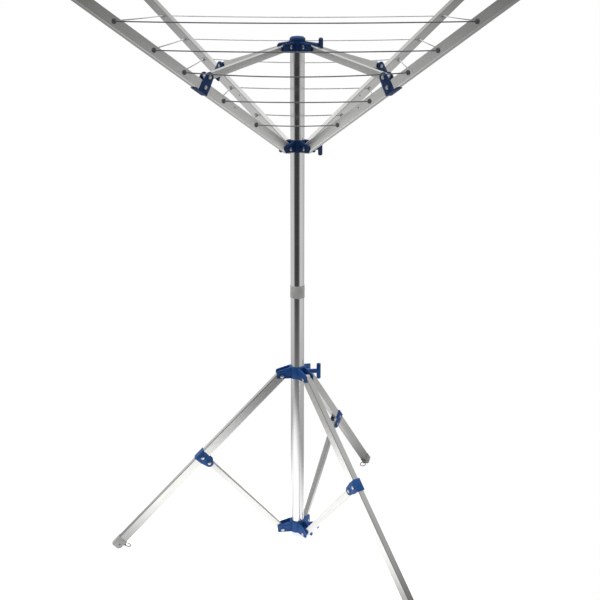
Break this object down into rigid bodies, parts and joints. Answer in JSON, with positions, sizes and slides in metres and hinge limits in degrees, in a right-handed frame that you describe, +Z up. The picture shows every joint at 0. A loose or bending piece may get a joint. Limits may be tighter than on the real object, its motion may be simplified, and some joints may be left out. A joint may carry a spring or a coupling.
{
  "type": "rotary clothesline",
  "caption": "Free-standing folding rotary clothesline: mast on a folding tripod, rising braced arms carrying square rings of line, and T-screw clamps on sliding hubs.",
  "frame": {"origin": "on the floor, under the mast axis, at the centre of the box's base", "axes": "+Z up along the mast; the tripod's first leg points about -X; the four arms lie about 45 degrees from X and Y"},
  "size_m": [1.1068, 1.1085, 1.6114],
  "materials": {
    "mast_aluminium": "polished round tube",
    "bar_aluminium": "satin drawn tube",
    "navy_plastic": "moulded, semi-gloss",
    "blue_plastic": "moulded, semi-gloss",
    "grey_plastic": "moulded, matte",
    "pale_plastic": "moulded, matte",
    "eye_plastic": "moulded, matte",
    "rivet_aluminium": "bright upset heads",
    "ring_steel": "zinc-plated wire",
    "coated_line": "plastic-coated cord"
  },
  "bodies": {
    "lower_mast": {"lower_pole": "mast_aluminium", "base_hub": "blue_plastic", "base_hub_pins": "rivet_aluminium"},
    "base_knob": {"base_knob": "blue_plastic"},
    "tripod_slider": {"tripod_hub": "blue_plastic", "tripod_hub_rivets": "rivet_aluminium"},
    "tripod_knob": {"tripod_knob": "blue_plastic"},
    "joint_sleeve": {"joint_bush": "grey_plastic", "spigot": "bar_aluminium"},
    "upper_mast": {"upper_pole": "mast_aluminium", "top_cap": "navy_plastic", "top_hub": "navy_plastic", "top_hub_pins": "rivet_aluminium"},
    "top_knob": {"top_knob": "navy_plastic"},
    "arm_slider": {"arm_hub": "navy_plastic", "arm_hub_rivets": "rivet_aluminium"},
    "arm_knob": {"arm_knob": "navy_plastic"},
    "leg_strut_1": {"leg_strut_1": "bar_aluminium"},
    "leg_1": {"leg_1": "bar_aluminium", "leg_clamp_1": "blue_plastic", "leg_rivets_1": "rivet_aluminium", "foot_cap_1": "pale_plastic"},
    "foot_ring_1": {"foot_ring_1": "ring_steel"},
    "leg_strut_2": {"leg_strut_2": "bar_aluminium"},
    "leg_2": {"leg_2": "bar_aluminium", "leg_clamp_2": "blue_plastic", "leg_rivets_2": "rivet_aluminium", "foot_cap_2": "pale_plastic"},
    "foot_ring_2": {"foot_ring_2": "ring_steel"},
    "leg_strut_3": {"leg_strut_3": "bar_aluminium"},
    "leg_3": {"leg_3": "bar_aluminium", "leg_clamp_3": "blue_plastic", "leg_rivets_3": "rivet_aluminium", "foot_cap_3": "pale_plastic"},
    "foot_ring_3": {"foot_ring_3": "ring_steel"},
    "arm_strut_1": {"arm_strut_1": "bar_aluminium"},
    "arm_1": {"arm_1": "bar_aluminium", "arm_clamp_1": "navy_plastic", "arm_rivets_1": "rivet_aluminium", "line_eyes_1": "eye_plastic", "clothesline_1": "coated_line"},
    "arm_strut_2": {"arm_strut_2": "bar_aluminium"},
    "arm_2": {"arm_2": "bar_aluminium", "arm_clamp_2": "navy_plastic", "arm_rivets_2": "rivet_aluminium", "line_eyes_2": "eye_plastic", "clothesline_2": "coated_line"},
    "arm_strut_3": {"arm_strut_3": "bar_aluminium"},
    "arm_3": {"arm_3": "bar_aluminium", "arm_clamp_3": "navy_plastic", "arm_rivets_3": "rivet_aluminium", "line_eyes_3": "eye_plastic", "clothesline_3": "coated_line"},
    "arm_strut_4": {"arm_strut_4": "bar_aluminium"},
    "arm_4": {"arm_4": "bar_aluminium", "arm_clamp_4": "navy_plastic", "arm_rivets_4": "rivet_aluminium", "line_eyes_4": "eye_plastic", "clothesline_4": "coated_line"}
  },
  "joints": [
    {"name": "tripod_slide", "type": "slide", "parent": "lower_mast", "child": "tripod_slider", "axis": [0, 0, 1], "range_m": [0, 0.15976]},
    {"name": "mast_lift", "type": "slide", "parent": "lower_mast", "child": "joint_sleeve", "axis": [0, 0, 1], "range_m": [0, 0.1]},
    {"name": "mast_spin", "type": "hinge", "parent": "joint_sleeve", "child": "upper_mast", "pos_m": [0, 0, 0.76], "axis": [0, 0, 1], "continuous": true},
    {"name": "arm_slide", "type": "slide", "parent": "upper_mast", "child": "arm_slider", "axis": [0, 0, -1], "range_m": [0, 0.35636]},
    {"name": "base_knob_turn", "type": "hinge", "parent": "lower_mast", "child": "base_knob", "pos_m": [0.06077, 0.00532, 0.029], "axis": [0.9962, 0.0872, 0], "range_deg": [0, 360]},
    {"name": "tripod_knob_turn", "type": "hinge", "parent": "tripod_slider", "child": "tripod_knob", "pos_m": [0.06077, 0.00532, 0.5205], "axis": [0.9962, 0.0872, 0], "range_deg": [0, 360]},
    {"name": "arm_knob_turn", "type": "hinge", "parent": "arm_slider", "child": "arm_knob", "pos_m": [0.06096, -0.00213, 1.161], "axis": [0.9994, -0.0349, 0], "range_deg": [0, 360]},
    {"name": "top_knob_turn", "type": "hinge", "parent": "upper_mast", "child": "top_knob", "pos_m": [0.06096, -0.00213, 1.426], "axis": [0.9994, -0.0349, 0], "range_deg": [0, 360]},
    {"name": "leg_strut_1_fold", "type": "hinge", "parent": "lower_mast", "child": "leg_strut_1", "pos_m": [-0.04548, -0.00688, 0.021], "axis": [-0.1495, 0.9888, 0], "range_deg": [0, 42.31]},
    {"name": "leg_1_fold", "type": "hinge", "parent": "leg_strut_1", "child": "leg_1", "pos_m": [-0.2566, -0.03881, 0.25564], "axis": [0.1495, -0.9888, 0], "range_deg": [0, 82.05]},
    {"name": "foot_ring_1_swing", "type": "hinge", "parent": "leg_1", "child": "foot_ring_1", "pos_m": [-0.50797, -0.07682, 0.00769], "axis": [0.1495, -0.9888, 0], "range_deg": [0, 60]},
    {"name": "leg_strut_2_fold", "type": "hinge", "parent": "lower_mast", "child": "leg_strut_2", "pos_m": [0.02638, -0.03768, 0.021], "axis": [-0.8192, -0.5736, 0], "range_deg": [0, 42.31]},
    {"name": "leg_2_fold", "type": "hinge", "parent": "leg_strut_2", "child": "leg_2", "pos_m": [0.14885, -0.21258, 0.25564], "axis": [0.8192, 0.5736, 0], "range_deg": [0, 82.05]},
    {"name": "foot_ring_2_swing", "type": "hinge", "parent": "leg_2", "child": "foot_ring_2", "pos_m": [0.29467, -0.42084, 0.00769], "axis": [0.8192, 0.5736, 0], "range_deg": [0, 60]},
    {"name": "leg_strut_3_fold", "type": "hinge", "parent": "lower_mast", "child": "leg_strut_3", "pos_m": [0.0206, 0.04113, 0.021], "axis": [0.8942, -0.4478, 0], "range_deg": [0, 42.31]},
    {"name": "leg_3_fold", "type": "hinge", "parent": "leg_strut_3", "child": "leg_3", "pos_m": [0.1162, 0.23205, 0.25564], "axis": [-0.8942, 0.4478, 0], "range_deg": [0, 82.05]},
    {"name": "foot_ring_3_swing", "type": "hinge", "parent": "leg_3", "child": "foot_ring_3", "pos_m": [0.23004, 0.45937, 0.00769], "axis": [-0.8942, 0.4478, 0], "range_deg": [0, 60]},
    {"name": "arm_strut_1_fold", "type": "hinge", "parent": "upper_mast", "child": "arm_strut_1", "pos_m": [0.02654, 0.02432, 1.422], "axis": [-0.6756, 0.7373, 0], "range_deg": [0, 76.98]},
    {"name": "arm_1_fold", "type": "hinge", "parent": "arm_strut_1", "child": "arm_1", "pos_m": [0.2282, 0.2091, 1.36077], "axis": [0.6756, -0.7373, 0], "range_deg": [0, 130.64], "deforming": ["clothesline_1"]},
    {"name": "arm_strut_2_fold", "type": "hinge", "parent": "upper_mast", "child": "arm_strut_2", "pos_m": [-0.02467, 0.02622, 1.422], "axis": [-0.7284, -0.6852, 0], "range_deg": [0, 76.98]},
    {"name": "arm_2_fold", "type": "hinge", "parent": "arm_strut_2", "child": "arm_2", "pos_m": [-0.21207, 0.22544, 1.36077], "axis": [0.7284, 0.6852, 0], "range_deg": [0, 130.64], "deforming": ["clothesline_2"]},
    {"name": "arm_strut_3_fold", "type": "hinge", "parent": "upper_mast", "child": "arm_strut_3", "pos_m": [-0.02534, -0.02557, 1.422], "axis": [0.7102, -0.704, 0], "range_deg": [0, 76.98]},
    {"name": "arm_3_fold", "type": "hinge", "parent": "arm_strut_3", "child": "arm_3", "pos_m": [-0.2179, -0.21981, 1.36077], "axis": [-0.7102, 0.704, 0], "range_deg": [0, 130.64], "deforming": ["clothesline_3"]},
    {"name": "arm_strut_4_fold", "type": "hinge", "parent": "upper_mast", "child": "arm_strut_4", "pos_m": [0.02478, -0.02611, 1.422], "axis": [0.7254, 0.6884, 0], "range_deg": [0, 76.98]},
    {"name": "arm_4_fold", "type": "hinge", "parent": "arm_strut_4", "child": "arm_4", "pos_m": [0.21305, -0.22451, 1.36077], "axis": [-0.7254, -0.6884, 0], "range_deg": [0, 130.64], "deforming": ["clothesline_4"]}
  ],
  "couplings": [
    {"joint": "leg_strut_1_fold", "follows": "tripod_slide", "rad_per_m": 4.6212},
    {"joint": "leg_1_fold", "follows": "tripod_slide", "rad_per_m": 8.9622},
    {"joint": "leg_strut_2_fold", "follows": "tripod_slide", "rad_per_m": 4.6212},
    {"joint": "leg_2_fold", "follows": "tripod_slide", "rad_per_m": 8.9622},
    {"joint": "leg_strut_3_fold", "follows": "tripod_slide", "rad_per_m": 4.6212},
    {"joint": "leg_3_fold", "follows": "tripod_slide", "rad_per_m": 8.9622},
    {"joint": "arm_strut_1_fold", "follows": "arm_slide", "rad_per_m": 3.7699},
    {"joint": "arm_1_fold", "follows": "arm_slide", "rad_per_m": 6.3978},
    {"joint": "arm_strut_2_fold", "follows": "arm_slide", "rad_per_m": 3.7699},
    {"joint": "arm_2_fold", "follows": "arm_slide", "rad_per_m": 6.3978},
    {"joint": "arm_strut_3_fold", "follows": "arm_slide", "rad_per_m": 3.7699},
    {"joint": "arm_3_fold", "follows": "arm_slide", "rad_per_m": 6.3978},
    {"joint": "arm_strut_4_fold", "follows": "arm_slide", "rad_per_m": 3.7699},
    {"joint": "arm_4_fold", "follows": "arm_slide", "rad_per_m": 6.3978}
  ]
}
